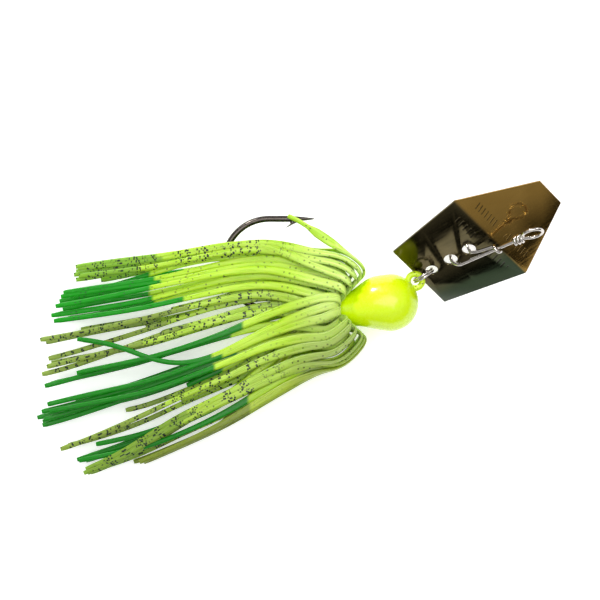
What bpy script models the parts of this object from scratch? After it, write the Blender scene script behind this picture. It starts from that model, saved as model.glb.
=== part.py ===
"""Bladed jig: a painted lead head on a hook, a silicone skirt and a vibrating metal blade.

The lure lies on its side. The hook lies in the horizontal plane at HOOK_Z, its point towards -X and
its gape opening towards +X. The head is near the middle, the skirt streams to -X and the blade
hangs on the hook's eye towards +X. Lengths below are in millimetres and become metres in place().
"""

import math

import bmesh
import bpy
from mathutils import Matrix, Vector

MM = 0.001
# Middle of the lure's outline on the table, from the head's centre
ORIGIN = Vector((-18.304, -5.176, -0.143))

# Head and hook
HOOK_Z = 6.8
BALL_RADIUS = 5.6
SHANK_Y = -1.2
WIRE_RADIUS = 0.62
WIRE_CHANNEL = 0.74  # the casting's channel round the hook wire
BEND_CENTRE_X = -23.7
BEND_RADIUS = 8.8
POINT_X = -14.8
TAPER_LENGTH = 5.0
TIP_RADIUS = 0.06
BARB_ROOT_X = -17.4
BARB_LENGTH = 3.0
BARB_RISE = 1.75
EYE = Vector((4.9, 4.2, HOOK_Z))
EYE_RADIUS = 1.4  # of the wire's centre line
EYE_WIRE_RADIUS = 0.6
STEM_ANGLE = math.radians(60)

# Casting behind the ball, from its widest to its tail: x, centre y and radius of each round section
NECK_SECTIONS = (
    (-2.0, 0.0, 5.36),
    (-3.9, -0.05, 4.95),
    (-5.5, -0.4, 4.3),
    (-7.2, -0.95, 3.55),
    (-8.6, -1.2, 3.15),
    (-9.7, -1.2, 2.95),
    (-10.2, -1.2, 2.65),
    (-10.4, -1.2, 2.0),
    (-15.4, -1.2, 2.0),
    (-16.6, -1.2, 1.15),
)

# Band over the strands
BAND_X = (-14.6, -12.5)
BAND_RADII = (3.42, 4.2)

# Skirt: strips of silicone doubled over the band. Each runs back from the band in its rear half and
# forward over the head in its front half, where it folds over and runs back outside the others.
STRAND_WIDTH = 1.0
STRAND_THICKNESS = 0.52
UNDER_RADIUS = 2.38  # strands lying on the casting's hub
OVER_RADIUS = 3.04  # strands lying on those
# Front halves from the band to the collar's rim: x at the sides, highest and lowest y there, then x
# and half height on top and underneath
WIDE_FOLD = (
    (-12.2, 1.16, -3.56, -12.3, 2.36),
    (-11.2, 1.75, -4.15, -11.5, 2.9),
    (-9.6, 2.75, -5.15, -10.9, 3.6),
    (-7.2, 3.75, -5.6, -10.3, 4.4),
    (-4.7, 5.5, -6.6, -10.2, 5.2),
    (-4.6, 7.0, -7.9, -10.7, 5.8),
    (-6.2, 9.0, -10.2, -11.9, 6.1),
    (-9.6, 11.0, -13.2, -13.8, 6.1),
)
CLOSE_FOLD = (
    (-12.2, 1.84, -4.24, -12.3, 3.04),
    (-11.3, 2.5, -4.9, -11.8, 3.5),
    (-10.0, 3.6, -6.0, -11.5, 4.0),
    (-8.4, 4.6, -6.8, -11.3, 4.4),
    (-6.9, 5.7, -7.5, -11.5, 4.75),
    (-7.0, 6.8, -8.5, -12.0, 5.05),
    (-9.6, 9.2, -11.6, -13.6, 5.15),
)
# Outline of the spread skirt, and the heights of its eight layers at the hook's bend and at the tail
SKIRT_TOP = (
    (-13.0, 10.8),
    (-15.7, 11.9),
    (-20.6, 13.0),
    (-25.0, 13.2),
    (-29.4, 12.5),
    (-47.0, 9.5),
    (-61.6, 7.4),
)
SKIRT_BOTTOM = ((-13.3, -14.8), (-17.6, -17.5), (-31.4, -24.0), (-47.1, -30.9), (-60.0, -34.4))
LAYERS_AT_BEND = (3.1, 3.9, 4.7, 5.5, 8.1, 8.9, 9.7, 10.5)
TAIL_LAYER_STEP = 0.8
TAIL_LOWEST = 0.45
FREE_FROM = -36.0  # x behind which the strands follow their lanes
SWAY = 0.3
# Each half strand from the +Y side to the -Y side: x of its tip, its share of the skirt's width
# (0 at the bottom edge, 1 at the top) where it leaves the hook and the same at its tip
WIDE_UPPER = (
    (-22.0, 1.0, 1.0),
    (-61.6, 0.98, 0.985),
    (-61.3, 0.4, 0.647),
    (-64.6, 0.26, 0.158),
    (-60.0, 0.15, 0.03),
)
WIDE_LOWER = (
    (-47.0, 0.92, 0.93),
    (-66.0, 0.78, 0.79),
    (-45.0, 0.6, 0.6),
    (-68.6, 0.33, 0.31),
    (-50.5, 0.01, 0.005),
)
CLOSE_UPPER = (
    (-62.0, 0.95, 0.955),
    (-64.1, 0.88, 0.873),
    (-66.5, 0.79, 0.78),
    (-68.7, 0.69, 0.687),
    (-67.8, 0.49, 0.47),
    (-68.4, 0.37, 0.36),
    (-58.7, 0.13, 0.01),
)
CLOSE_LOWER = (
    (-61.9, 0.97, 0.97),
    (-65.2, 0.84, 0.85),
    (-67.9, 0.66, 0.67),
    (-66.8, 0.57, 0.56),
    (-67.9, 0.38, 0.345),
    (-63.5, 0.22, 0.165),
    (-57.0, 0.06, 0.03),
)
UNDER_UPPER = (
    (-44.7, 0.84, 0.85),
    (-67.2, 0.66, 0.583),
    (-69.4, 0.37, 0.325),
    (-39.8, 0.31, 0.3),
    (-61.5, 0.12, 0.085),
)
UNDER_LOWER = (
    (-50.0, 0.88, 0.89),
    (-46.0, 0.7, 0.7),
    (-66.9, 0.33, 0.315),
    (-41.0, 0.24, 0.23),
    (-47.8, 0.13, 0.06),
)
OVER_UPPER = (
    (-56.7, 0.92, 0.877),
    (-63.4, 0.76, 0.757),
    (-42.8, 0.7, 0.71),
    (-68.4, 0.6, 0.53),
    (-68.3, 0.34, 0.297),
    (-57.7, 0.14, 0.143),
    (-47.9, 0.01, 0.0),
)
OVER_LOWER = (
    (-60.8, 0.95, 0.94),
    (-64.5, 0.81, 0.8),
    (-48.0, 0.66, 0.65),
    (-66.9, 0.5, 0.465),
    (-52.0, 0.28, 0.27),
    (-60.0, 0.15, 0.1),
    (-44.0, 0.0, 0.0),
)
# The one strand that ends over the hook's point
OVER_POINT = ((-13.0, 12.6, 9.0), (-16.6, 15.2, 8.5), (-19.7, 17.0, 8.3), (-21.4, 17.7, 8.2))

# Split ring: two coils lying against each other
RING_CENTRE = EYE + Vector((1.65, 1.19, -0.715))
RING_AXIS = Vector((-0.556, 0.825, 0.102)).normalized()
RING_RADIUS = 2.2
RING_WIRE_RADIUS = 0.21
RING_COIL_OFFSET = 0.235
RING_JOG = math.radians(40)

# Blade: frame (length, width, normal), then its outline as distance from the rear edge
BLADE_LENGTH_AXIS = Vector((0.789, 0.442, 0.427)).normalized()
BLADE_WIDTH_HINT = Vector((0.615, -0.567, -0.548))
BLADE_HOLE_CENTRE = RING_CENTRE + Vector((1.65, 1.107, -0.037))
BLADE_THICKNESS = 0.5
BLADE_LENGTH = 32.0
BLADE_REAR_WIDTH = 17.1
BLADE_WIDEST = 23.9
BLADE_WIDEST_AT = 17.25
BLADE_FRONT_WIDTH = 7.0
BLADE_BEND = math.radians(13)
BLADE_BEND_LENGTH = 1.6
RING_HOLE_AT = 3.1
RING_HOLE_RADIUS = 1.2
SNAP_HOLES_AT = (7.7, 12.1)
SNAP_HOLE_RADIUS = 1.35

# Snap: bent wire through the two holes in the blade, with the line's eye at its far end
SNAP_WIRE_RADIUS = 0.32
SNAP_DIRECTION = Vector((0.995, 0.045, 0.085)).normalized()  # in the blade's frame
SNAP_LEAN = math.radians(26)
SNAP_LOOP_RADIUS = 2.15
SNAP_WRAP_RADIUS = 0.71
SNAP_WRAP_PITCH = 0.74
SNAP_WRAPS = 2.25
SNAP_NECK_AT = 14.0
SNAP_EYE_RADIUS = 1.95
SNAP_CATCH_AT = 7.6


def place(point):
    """A design point in millimetres as a world point in metres."""
    return (Vector(point) - ORIGIN) * MM


def clear_scene():
    for obj in list(bpy.data.objects):
        bpy.data.objects.remove(obj, do_unlink=True)


def material(name, colour, roughness, metallic):
    made = bpy.data.materials.new(name)
    made.use_nodes = True
    shader = made.node_tree.nodes["Principled BSDF"]
    shader.inputs["Base Color"].default_value = (*colour, 1.0)
    shader.inputs["Roughness"].default_value = roughness
    shader.inputs["Metallic"].default_value = metallic
    made.diffuse_color = (*colour, 1.0)
    return made


def finish(name, bm, surface, pivot=None, smooth_angle=40):
    """Turns a bmesh in design millimetres into an object whose origin is at pivot."""
    origin = place(pivot) if pivot is not None else Vector((0.0, 0.0, 0.0))
    for vert in bm.verts:
        vert.co = place(vert.co) - origin
    bmesh.ops.recalc_face_normals(bm, faces=bm.faces)
    mesh = bpy.data.meshes.new(name)
    bm.to_mesh(mesh)
    bm.free()
    mesh.shade_smooth()
    mesh.set_sharp_from_angle(angle=math.radians(smooth_angle))
    mesh.materials.append(surface)
    obj = bpy.data.objects.new(name, mesh)
    obj.location = origin
    bpy.context.scene.collection.objects.link(obj)
    return obj


def bridge(bm, rings):
    """Joins closed rings of vertices into a tube with flat ends."""
    for low, high in zip(rings, rings[1:]):
        count = len(low)
        for i in range(count):
            j = (i + 1) % count
            bm.faces.new((low[i], low[j], high[j], high[i]))
    bm.faces.new(list(reversed(rings[0])))
    bm.faces.new(rings[-1])


def tangents(points):
    found = []
    for i in range(len(points)):
        before = points[max(i - 1, 0)]
        after = points[min(i + 1, len(points) - 1)]
        found.append((after - before).normalized())
    return found


def tube(bm, points, radii, sides):
    """Sweeps a round section along the points, turning it as little as possible."""
    along = tangents(points)
    side = along[0].orthogonal().normalized()
    rings = []
    for point, tangent, radius in zip(points, along, radii):
        side = (side - tangent * side.dot(tangent)).normalized()
        other = tangent.cross(side)
        ring = []
        for i in range(sides):
            angle = math.tau * i / sides
            ring.append(bm.verts.new(point + (side * math.cos(angle) + other * math.sin(angle)) * radius))
        rings.append(ring)
    bridge(bm, rings)


def smooth_path(knots, per_span):
    """A Catmull-Rom curve through the knots."""
    ends = [knots[0] * 2 - knots[1], *knots, knots[-1] * 2 - knots[-2]]
    points = []
    for a, b, c, d in zip(ends, ends[1:], ends[2:], ends[3:]):
        for step in range(per_span):
            t = step / per_span
            squared = (a * 2 - b * 5 + c * 4 - d) * t**2
            cubed = (b * 3 - a - c * 3 + d) * t**3
            points.append((b * 2 + (c - a) * t + squared + cubed) * 0.5)
    points.append(knots[-1].copy())
    return points


def union(obj, other):
    join = obj.modifiers.new("union", "BOOLEAN")
    join.operation = "UNION"
    join.solver = "EXACT"
    join.object = other
    other.hide_render = True
    other.display_type = "WIRE"


def cut(obj, cutter):
    taken = obj.modifiers.new("cut", "BOOLEAN")
    taken.operation = "DIFFERENCE"
    taken.solver = "EXACT"
    taken.object = cutter
    cutter.hide_render = True
    cutter.display_type = "WIRE"


# ---------------------------------------------------------------- hook


def hook_route():
    """Centre line from the point, round the bend and along the shank to the eye's stem."""
    bend_y = SHANK_Y + BEND_RADIUS
    top_y = SHANK_Y + 2 * BEND_RADIUS
    points = []
    for i in range(8):
        x = POINT_X + (BEND_CENTRE_X - POINT_X) * i / 8
        points.append(Vector((x, top_y, HOOK_Z)))
    for i in range(21):
        angle = math.pi / 2 + math.pi * i / 20
        x = BEND_CENTRE_X + BEND_RADIUS * math.cos(angle)
        points.append(Vector((x, bend_y + BEND_RADIUS * math.sin(angle), HOOK_Z)))
    stem = Vector((math.cos(STEM_ANGLE), math.sin(STEM_ANGLE), 0.0))
    corner = EYE - stem * ((EYE.y - SHANK_Y) / stem.y)
    turn = 1.2
    start = corner - Vector((turn, 0.0, 0.0))
    for i in range(1, 5):
        points.append(points[28].lerp(start, i / 4))
    for i in range(1, 5):
        t = i / 4
        points.append(start.lerp(corner, t).lerp(corner.lerp(corner + stem * turn, t), t))
    points.append(EYE - stem * EYE_RADIUS)
    return points


def wire_radii(points, radius):
    """Full radius everywhere but for the taper to the point."""
    radii = []
    for i, point in enumerate(points):
        reach = min(abs(point.x - POINT_X) / TAPER_LENGTH, 1.0) if i < 8 else 1.0
        radii.append(TIP_RADIUS + (radius - TIP_RADIUS) * reach**0.7)
    return radii


def eye_ring(bm, wire_radius):
    around = 28
    sides = 12
    grid = []
    for i in range(around):
        turn = math.tau * i / around
        outward = Vector((math.cos(turn), math.sin(turn), 0.0))
        ring = []
        for j in range(sides):
            angle = math.tau * j / sides
            offset = outward * math.cos(angle) + Vector((0.0, 0.0, math.sin(angle)))
            ring.append(bm.verts.new(EYE + outward * EYE_RADIUS + offset * wire_radius))
        grid.append(ring)
    for i in range(around):
        here, there = grid[i], grid[(i + 1) % around]
        for j in range(sides):
            k = (j + 1) % sides
            bm.faces.new((here[j], there[j], there[k], here[k]))


def make_hook(surface):
    route = hook_route()
    bm = bmesh.new()
    tube(bm, route, wire_radii(route, WIRE_RADIUS), 12)
    hook = finish("hook", bm, surface)
    bm = bmesh.new()
    eye_ring(bm, EYE_WIRE_RADIUS)
    union(hook, finish("hook_eye_ring", bm, surface))
    bm = bmesh.new()
    top_y = SHANK_Y + 2 * BEND_RADIUS
    root = Vector((BARB_ROOT_X, top_y, HOOK_Z))
    tip = root + Vector((-BARB_LENGTH, -BARB_RISE, 0.0))
    foot = root + Vector((-BARB_LENGTH * 0.75, 0.1, 0.0))
    tube(bm, [root, root.lerp(tip, 0.5) + Vector((0.0, 0.12, 0.0)), tip], (0.3, 0.3, 0.06), 6)
    union(hook, finish("hook_barb", bm, surface))
    bm = bmesh.new()
    tube(bm, [foot, root.lerp(tip, 0.62)], (0.28, 0.2), 6)
    union(hook, finish("hook_barb_web", bm, surface))
    return hook


# ---------------------------------------------------------------- head


def make_head(surface):
    sides = 36
    sections = []
    caps = 7
    for i in range(1, caps + 1):
        angle = math.pi / 2 * (1 - i / (caps + 0.5))
        sections.append((BALL_RADIUS * math.sin(angle), 0.0, BALL_RADIUS * math.cos(angle)))
    sections.append((0.0, 0.0, BALL_RADIUS))
    sections.extend(NECK_SECTIONS)
    bm = bmesh.new()
    rings = []
    for x, y, radius in sections:
        ring = []
        for i in range(sides):
            angle = math.tau * i / sides
            ring.append(bm.verts.new((x, y + radius * math.cos(angle), HOOK_Z + radius * math.sin(angle))))
        rings.append(ring)
    bridge(bm, rings)
    head = finish("head_casting", bm, surface)
    route = hook_route()[28:]
    bm = bmesh.new()
    tube(bm, route, [WIRE_CHANNEL] * len(route), 12)
    cut(head, finish("channel_cutter", bm, surface))
    bm = bmesh.new()
    eye_ring(bm, WIRE_CHANNEL)
    cut(head, finish("eye_cutter", bm, surface))
    return head


def make_band(surface):
    inner, outer = BAND_RADII
    low, high = BAND_X
    round_off = 0.2
    profile = (
        (low, inner),
        (high, inner),
        (high, outer - round_off),
        (high - round_off, outer),
        (low + round_off, outer),
        (low, outer - round_off),
    )
    around = 32
    bm = bmesh.new()
    grid = []
    for i in range(around):
        angle = math.tau * i / around
        ring = []
        for x, radius in profile:
            side = SHANK_Y + radius * math.cos(angle)
            height = HOOK_Z + radius * math.sin(angle)
            ring.append(bm.verts.new((x, side, height)))
        grid.append(ring)
    for i in range(around):
        here, there = grid[i], grid[(i + 1) % around]
        for j in range(len(profile)):
            k = (j + 1) % len(profile)
            bm.faces.new((here[j], there[j], there[k], here[k]))
    return finish("skirt_band", bm, surface)


# ---------------------------------------------------------------- skirt


def interpolate(table, x):
    """Straight lines between (x, value) rows ordered from +X to -X, carried on past both ends."""
    rows = list(zip(table, table[1:]))
    for low, high in rows:
        if x >= high[0]:
            break
    return low[1] + (high[1] - low[1]) * (x - low[0]) / (high[0] - low[0])


def ease(x, start, end):
    t = min(max((x - start) / (end - start), 0.0), 1.0)
    return t * t * (3 - 2 * t)


def tail_knots(start, layer, lane, sideways):
    """Knots from a starting point back to a half strand's tip, each with its width direction."""
    tip, share_at_hook, share_at_tip = lane
    spaced = [start.x + (FREE_FROM - start.x) * part for part in (0.12, 0.26, 0.42, 0.6, 0.8, 1.0)]
    stops = spaced + [-42.0, -48.0, -54.0, -60.0, -65.0]
    stations = [x for x in stops if x > tip + 2.0] + [tip]
    knots = []
    for x in stations:
        share = share_at_hook + (share_at_tip - share_at_hook) * ease(x, -37.0, tip)
        top = interpolate(SKIRT_TOP, x)
        bottom = interpolate(SKIRT_BOTTOM, x)
        y = bottom + (top - bottom) * share
        at_tail = TAIL_LOWEST + TAIL_LAYER_STEP * layer
        height = LAYERS_AT_BEND[layer] + (at_tail - LAYERS_AT_BEND[layer]) * max(x + 34.0, -32.0) / -32.0
        if x > -34.0:
            height = LAYERS_AT_BEND[layer]
        y += SWAY * math.sin(0.13 * x + 2.1 * tip) * ease(x, FREE_FROM, -46.0)
        spread = 1 - max(1 - (x - start.x) / (FREE_FROM - start.x), 0.0) ** 2
        y = start.y + (y - start.y) * spread
        height = start.z + (height - start.z) * ease(x, start.x, -23.0)
        turned = ease(x, start.x - 0.5, -23.0)
        flat = Vector((0.0, -1.0 if sideways.y < 0 else 1.0, 0.0))
        knots.append((Vector((x, y, height)), sideways.lerp(flat, turned).normalized()))
    return knots


def strand_knots(angle, wide, front, back):
    """Knots of a whole strand from its front half's tip, under the band, to its rear half's tip."""
    fold = WIDE_FOLD if wide else CLOSE_FOLD
    radius = UNDER_RADIUS if wide else OVER_RADIUS
    upper = math.sin(angle) > 0
    outside = 7 if wide else 6
    inside = 4 if wide else 5
    front_layer = outside if upper else 7 - outside
    back_layer = inside if upper else 7 - inside
    sideways = Vector((0.0, -math.sin(angle), math.cos(angle)))
    flank = abs(math.cos(angle)) ** 1.5
    collar = []
    for x_side, highest, lowest, x_top, half_height in fold:
        x = x_top + (x_side - x_top) * flank
        y = (highest + lowest) / 2 + (highest - lowest) / 2 * math.cos(angle)
        collar.append((Vector((x, y, HOOK_Z + half_height * math.sin(angle))), sideways))
    if front is WIDE_UPPER[0]:
        ending = [(Vector(point), Vector((0.45, -0.9, 0.0)).normalized()) for point in OVER_POINT]
        collar = collar[:-1]
    else:
        ending = tail_knots(collar[-1][0], front_layer, front, sideways)
    y = SHANK_Y + radius * math.cos(angle)
    z = HOOK_Z + radius * math.sin(angle)
    under = [(Vector((x, y, z)), sideways) for x in (-13.5, -14.8)]
    return list(reversed(collar + ending)) + under + tail_knots(under[-1][0], back_layer, back, sideways)


def strip(bm, points, widths, half_width, half_thickness):
    """Sweeps a flat section along the points, its width lying along widths."""
    along = tangents(points)
    rings = []
    for point, tangent, width in zip(points, along, widths):
        across = (width - tangent * width.dot(tangent)).normalized() * half_width
        through = tangent.cross(across).normalized() * half_thickness
        corners = (-across - through, across - through, across + through, -across + through)
        rings.append([bm.verts.new(point + corner) for corner in corners])
    bridge(bm, rings)


def skirt_plan():
    """Every strand as its angle round the hub, whether it folds wide, and its two half strands."""
    plan = []
    for k in range(5):
        angle = math.radians(18 + 36 * k)
        plan.append((angle, True, WIDE_UPPER[k], UNDER_UPPER[k]))
        plan.append((-angle, True, WIDE_LOWER[k], UNDER_LOWER[k]))
    for k in range(7):
        angle = math.pi * (k + 0.5) / 7
        plan.append((angle, False, CLOSE_UPPER[k], OVER_UPPER[k]))
        plan.append((-angle, False, CLOSE_LOWER[k], OVER_LOWER[k]))
    return plan


def make_strands(surfaces):
    for number, (angle, wide, front, back) in enumerate(skirt_plan(), 1):
        knots = strand_knots(angle, wide, front, back)
        points = smooth_path([point for point, width in knots], 2)
        widths = smooth_path([width for point, width in knots], 2)
        bm = bmesh.new()
        strip(bm, points, widths, STRAND_WIDTH / 2, STRAND_THICKNESS / 2)
        share = front[1]
        surface = surfaces[0] if share > 0.74 else surfaces[1] if share > 0.45 else surfaces[2]
        if share < 0.2:
            surface = surfaces[3]
        finish(f"strand_{number:02d}", bm, surface)


# ---------------------------------------------------------------- split ring


def make_split_ring(surface):
    across = BLADE_LENGTH_AXIS - RING_AXIS * BLADE_LENGTH_AXIS.dot(RING_AXIS)
    across.normalize()
    up = RING_AXIS.cross(across)
    start = math.radians(100)
    total = 2 * math.tau - RING_JOG * 1.3
    steps = 76
    points = []
    for i in range(steps + 1):
        turned = total * i / steps
        t = min(max((turned - (math.tau - RING_JOG)) / RING_JOG, 0.0), 1.0)
        offset = RING_COIL_OFFSET * (2 * t * t * (3 - 2 * t) - 1)
        angle = start + turned
        spoke = across * math.cos(angle) + up * math.sin(angle)
        points.append(RING_CENTRE + spoke * RING_RADIUS + RING_AXIS * offset)
    bm = bmesh.new()
    tube(bm, points, [RING_WIRE_RADIUS] * len(points), 8)
    return finish("split_ring", bm, surface, pivot=EYE)


# ---------------------------------------------------------------- blade


def blade_axes():
    """The blade's length, width and normal directions in its rear half."""
    length = BLADE_LENGTH_AXIS
    width = (BLADE_WIDTH_HINT - length * BLADE_WIDTH_HINT.dot(length)).normalized()
    return length, width, width.cross(length)


def blade_point(along, across, height):
    """A point given by its distance along the unbent blade from the rear edge."""
    length, width, normal = blade_axes()
    start = BLADE_WIDEST_AT - BLADE_BEND_LENGTH / 2
    radius = BLADE_BEND_LENGTH / BLADE_BEND
    turned = min(max((along - start) / radius, 0.0), BLADE_BEND)
    straight = max(along - start - BLADE_BEND_LENGTH, 0.0)
    forward = min(along, start) + radius * math.sin(turned) + straight * math.cos(turned)
    drop = radius * (1 - math.cos(turned)) + straight * math.sin(turned)
    forward += height * math.sin(turned)
    rise = height * math.cos(turned) - drop
    rear = BLADE_HOLE_CENTRE - length * RING_HOLE_AT
    return rear + length * forward + width * across + normal * rise


def blade_half_width(along):
    if along <= BLADE_WIDEST_AT:
        share = along / BLADE_WIDEST_AT
        return (BLADE_REAR_WIDTH + (BLADE_WIDEST - BLADE_REAR_WIDTH) * share) / 2
    share = (along - BLADE_WIDEST_AT) / (BLADE_LENGTH - BLADE_WIDEST_AT)
    return (BLADE_WIDEST + (BLADE_FRONT_WIDTH - BLADE_WIDEST) * share) / 2


def make_blade(surface):
    half = BLADE_THICKNESS / 2
    bend = [BLADE_WIDEST_AT + BLADE_BEND_LENGTH * (i / 6 - 0.5) for i in range(7)]
    rows = [0.0, 8.0, *bend, 25.0, BLADE_LENGTH]
    bm = bmesh.new()
    rings = []
    for along in rows:
        wide = blade_half_width(along)
        corners = ((-wide, -half), (wide, -half), (wide, half), (-wide, half))
        rings.append([bm.verts.new(blade_point(along, across, height)) for across, height in corners])
    bridge(bm, rings)
    blade = finish("blade", bm, surface, pivot=RING_CENTRE, smooth_angle=30)
    holes = ((RING_HOLE_AT, RING_HOLE_RADIUS), *((at, SNAP_HOLE_RADIUS) for at in SNAP_HOLES_AT))
    normal = blade_axes()[2]
    for number, (at, radius) in enumerate(holes):
        middle = blade_point(at, 0.0, 0.0)
        bm = bmesh.new()
        tube(bm, [middle - normal * 2, middle + normal * 2], [radius] * 2, 28)
        cut(blade, finish(f"blade_hole_{number}", bm, surface))
    return blade


# ---------------------------------------------------------------- snap


def snap_axes():
    """Along the snap, across it in the loop's plane, and out of that plane."""
    length, width, normal = blade_axes()
    blade = Matrix((length, width, normal)).transposed()
    lean = Vector((0.0, math.sin(SNAP_LEAN), math.cos(SNAP_LEAN)))
    across = (lean - SNAP_DIRECTION * lean.dot(SNAP_DIRECTION)).normalized()
    out = SNAP_DIRECTION.cross(across)
    return blade @ SNAP_DIRECTION, blade @ across, blade @ out


def snap_route():
    """Centre line as (along, across, out), from the catch round the blade's bridge to the wraps."""
    leg = SNAP_LOOP_RADIUS
    route = []
    for i in range(9):
        angle = math.radians(130 - 220 * i / 8)
        reach = 0.78
        along = SNAP_CATCH_AT + 0.9 - 0.9 * i / 8
        route.append(Vector((along, leg + reach * math.sin(angle), reach * math.cos(angle))))
    knots = [
        route[-1],
        Vector((5.6, leg - 0.95, 0.0)),
        Vector((3.6, 0.95, 0.0)),
        Vector((2.35, 0.55, 0.0)),
    ]
    route.extend(smooth_path(knots, 4)[1:])
    for i in range(1, 22):
        angle = math.radians(0 - 270 * i / 21)
        route.append(Vector((leg * math.cos(angle), leg * math.sin(angle), 0.0)))
    eye = SNAP_NECK_AT + SNAP_EYE_RADIUS + 0.25
    for share in (0.25, 0.5, 0.75, 0.9, 1.0):
        route.append(Vector(((SNAP_NECK_AT - 0.5) * share, leg, 0.0)))
    for i in range(27):
        angle = math.radians(208 + 304 * i / 26)
        along = eye + SNAP_EYE_RADIUS * math.cos(angle)
        route.append(Vector((along, leg, SNAP_EYE_RADIUS * math.sin(angle))))
    steps = round(SNAP_WRAPS * 12)
    for i in range(steps + 1):
        angle = math.tau * i / 12
        along = SNAP_NECK_AT - 0.05 - SNAP_WRAP_PITCH * i / 12
        around = Vector((0.0, SNAP_WRAP_RADIUS * math.sin(angle), SNAP_WRAP_RADIUS * math.cos(angle)))
        route.append(Vector((along, leg, 0.0)) + around)
    return route


def make_snap(surface):
    along, across, out = snap_axes()
    bridge_middle = blade_point(sum(SNAP_HOLES_AT) / 2, 0.0, 0.0)
    points = [bridge_middle + along * p.x + across * p.y + out * p.z for p in snap_route()]
    bm = bmesh.new()
    tube(bm, points, [SNAP_WIRE_RADIUS] * len(points), 8)
    return finish("snap", bm, surface, pivot=bridge_middle)


def main():
    clear_scene()
    black_nickel = material("black_nickel", (0.05, 0.05, 0.055), 0.25, 1.0)
    paint = material("chartreuse_paint", (0.72, 0.9, 0.02), 0.2, 0.0)
    nickel = material("nickel", (0.6, 0.58, 0.55), 0.2, 1.0)
    smoked = material("smoked_nickel", (0.33, 0.27, 0.16), 0.12, 1.0)
    rubber = material("band_rubber", (0.25, 0.4, 0.05), 0.6, 0.0)
    make_hook(black_nickel)
    make_head(paint)
    make_band(rubber)
    make_split_ring(nickel)
    make_blade(smoked)
    make_snap(nickel)
    silicone = (
        material("silicone_chartreuse", (0.55, 0.78, 0.08), 0.35, 0.0),
        material("silicone_olive", (0.3, 0.42, 0.05), 0.35, 0.0),
        material("silicone_green", (0.01, 0.35, 0.02), 0.35, 0.0),
        material("silicone_dark_olive", (0.12, 0.16, 0.02), 0.35, 0.0),
    )
    make_strands(silicone)


main()
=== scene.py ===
"""Looks of the bladed jig: materials, fine meshes, floor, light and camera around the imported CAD."""

import math

import bmesh
import bpy
from mathutils import Matrix, Vector


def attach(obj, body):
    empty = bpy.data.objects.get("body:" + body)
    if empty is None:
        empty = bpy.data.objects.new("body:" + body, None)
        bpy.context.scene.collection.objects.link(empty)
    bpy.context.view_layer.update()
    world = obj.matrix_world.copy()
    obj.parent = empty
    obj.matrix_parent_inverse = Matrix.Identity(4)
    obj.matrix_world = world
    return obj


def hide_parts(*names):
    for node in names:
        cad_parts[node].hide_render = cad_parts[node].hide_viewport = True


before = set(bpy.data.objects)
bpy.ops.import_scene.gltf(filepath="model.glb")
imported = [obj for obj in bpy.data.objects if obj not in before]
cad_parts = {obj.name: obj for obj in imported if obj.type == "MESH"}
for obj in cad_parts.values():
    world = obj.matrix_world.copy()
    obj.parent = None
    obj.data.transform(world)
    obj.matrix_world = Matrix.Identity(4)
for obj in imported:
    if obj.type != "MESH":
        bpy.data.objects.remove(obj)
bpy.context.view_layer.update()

MM = 0.001
ORIGIN = Vector((-18.304, -5.176, -0.143))

# Head and hook
HOOK_Z = 6.8
BALL_RADIUS = 5.6
SHANK_Y = -1.2
WIRE_RADIUS = 0.62
BEND_CENTRE_X = -23.7
BEND_RADIUS = 8.8
POINT_X = -14.8
TAPER_LENGTH = 5.0
TIP_RADIUS = 0.06
BARB_ROOT_X = -17.4
BARB_LENGTH = 3.0
BARB_RISE = 1.75
EYE = Vector((4.9, 4.2, HOOK_Z))
EYE_RADIUS = 1.4  # of the wire's centre line
EYE_WIRE_RADIUS = 0.6
STEM_ANGLE = math.radians(60)

# Casting behind the ball, from its widest to its tail: x, centre y and radius of each round section
NECK_SECTIONS = (
    (-2.0, 0.0, 5.36),
    (-3.9, -0.05, 4.95),
    (-5.5, -0.4, 4.3),
    (-7.2, -0.95, 3.55),
    (-8.6, -1.2, 3.15),
    (-9.7, -1.2, 2.95),
    (-10.2, -1.2, 2.65),
    (-10.4, -1.2, 2.0),
    (-15.4, -1.2, 2.0),
    (-16.6, -1.2, 1.15),
)

# Band over the strands
BAND_X = (-14.6, -12.5)
BAND_RADII = (3.42, 4.2)

# Skirt: strips of silicone doubled over the band. Each runs back from the band in its rear half and
# forward over the head in its front half, where it folds over and runs back outside the others.
UNDER_RADIUS = 2.38  # strands lying on the casting's hub
OVER_RADIUS = 3.04  # strands lying on those
# Front halves from the band to the collar's rim: x at the sides, highest and lowest y there, then x
# and half height on top and underneath
WIDE_FOLD = (
    (-12.2, 1.16, -3.56, -12.3, 2.36),
    (-11.2, 1.75, -4.15, -11.5, 2.9),
    (-9.6, 2.75, -5.15, -10.9, 3.6),
    (-7.2, 3.75, -5.6, -10.3, 4.4),
    (-4.7, 5.5, -6.6, -10.2, 5.2),
    (-4.6, 7.0, -7.9, -10.7, 5.8),
    (-6.2, 9.0, -10.2, -11.9, 6.1),
    (-9.6, 11.0, -13.2, -13.8, 6.1),
)
CLOSE_FOLD = (
    (-12.2, 1.84, -4.24, -12.3, 3.04),
    (-11.3, 2.5, -4.9, -11.8, 3.5),
    (-10.0, 3.6, -6.0, -11.5, 4.0),
    (-8.4, 4.6, -6.8, -11.3, 4.4),
    (-6.9, 5.7, -7.5, -11.5, 4.75),
    (-7.0, 6.8, -8.5, -12.0, 5.05),
    (-9.6, 9.2, -11.6, -13.6, 5.15),
)
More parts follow.
